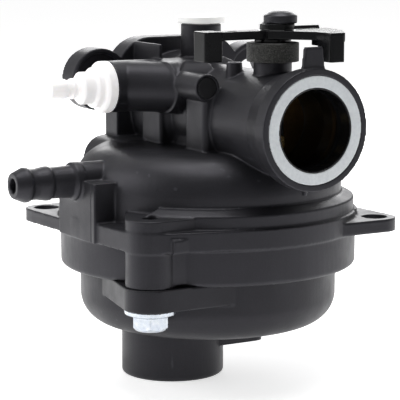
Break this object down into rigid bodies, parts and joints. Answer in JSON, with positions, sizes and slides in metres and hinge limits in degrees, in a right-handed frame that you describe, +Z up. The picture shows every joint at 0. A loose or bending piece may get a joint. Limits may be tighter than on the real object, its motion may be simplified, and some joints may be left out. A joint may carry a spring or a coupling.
{
  "type": "float-bowl carburetor",
  "caption": "Small-engine float-bowl carburetor: moulded body, domed float bowl, fuel barb, vent nozzle, lever-worked throttle and choke.",
  "frame": {"origin": "centre of the outlet port's face, on the throttle bore's axis", "axes": "+X along the bore and out of the outlet port, +Z up along the throttle and choke shafts, so the fuel barb and the vent nozzle point along -Y"},
  "size_m": [0.0771, 0.0856, 0.0869],
  "materials": {
    "body_plastic": "satin, glass-filled nylon",
    "shaft_plastic": "satin",
    "lever_plastic": "smooth moulded",
    "plug_plastic": "matte",
    "float_plastic": "closed-cell, matte",
    "nozzle_white": "natural nylon, slightly translucent",
    "choke_white": "acetal, satin",
    "seal_grey": "smooth",
    "black_rubber": "matte",
    "seat_rubber": "smooth",
    "felt": "pressed felt",
    "zinc_steel": "bright zinc plating",
    "plate_steel": "stamped",
    "needle_metal": "turned",
    "brass": "turned"
  },
  "bodies": {
    "housing": {"carburetor_body": "body_plastic", "float_bowl": "body_plastic", "bowl_gasket": "black_rubber", "bowl_screws": "zinc_steel", "outlet_seal": "seal_grey", "vent_fitting": "nozzle_white", "vent_fitting_oring": "black_rubber", "passage_plug": "plug_plastic", "throttle_shaft_seal": "felt", "float_hinge_pin": "plate_steel", "inlet_seat": "seat_rubber", "main_nozzle": "brass", "main_jet": "brass", "idle_jet": "brass"},
    "throttle": {"throttle_shaft": "shaft_plastic", "throttle_plate": "brass", "throttle_plate_screws": "brass", "throttle_lever": "lever_plastic"},
    "choke": {"choke_shaft": "choke_white", "choke_plate": "plate_steel"},
    "float": {"float": "float_plastic"},
    "needle": {"inlet_needle": "needle_metal"}
  },
  "joints": [
    {"name": "throttle_turn", "type": "hinge", "parent": "housing", "child": "throttle", "pos_m": [-0.0176, 0, 0], "axis": [0, 0, 1], "range_deg": [-4, 70]},
    {"name": "choke_turn", "type": "hinge", "parent": "housing", "child": "choke", "pos_m": [-0.0496, 0, 0], "axis": [0, 0, 1], "range_deg": [0, 75]},
    {"name": "float_swing", "type": "hinge", "parent": "housing", "child": "float", "pos_m": [-0.0415, -0.0276, -0.0265], "axis": [1, 0, 0], "range_deg": [0, 8]},
    {"name": "needle_slide", "type": "slide", "parent": "housing", "child": "needle", "axis": [0, 0, 1], "range_m": [0, 0.00061]}
  ],
  "couplings": [
    {"joint": "needle_slide", "follows": "float_swing", "m_per_rad": 0.0043}
  ]
}
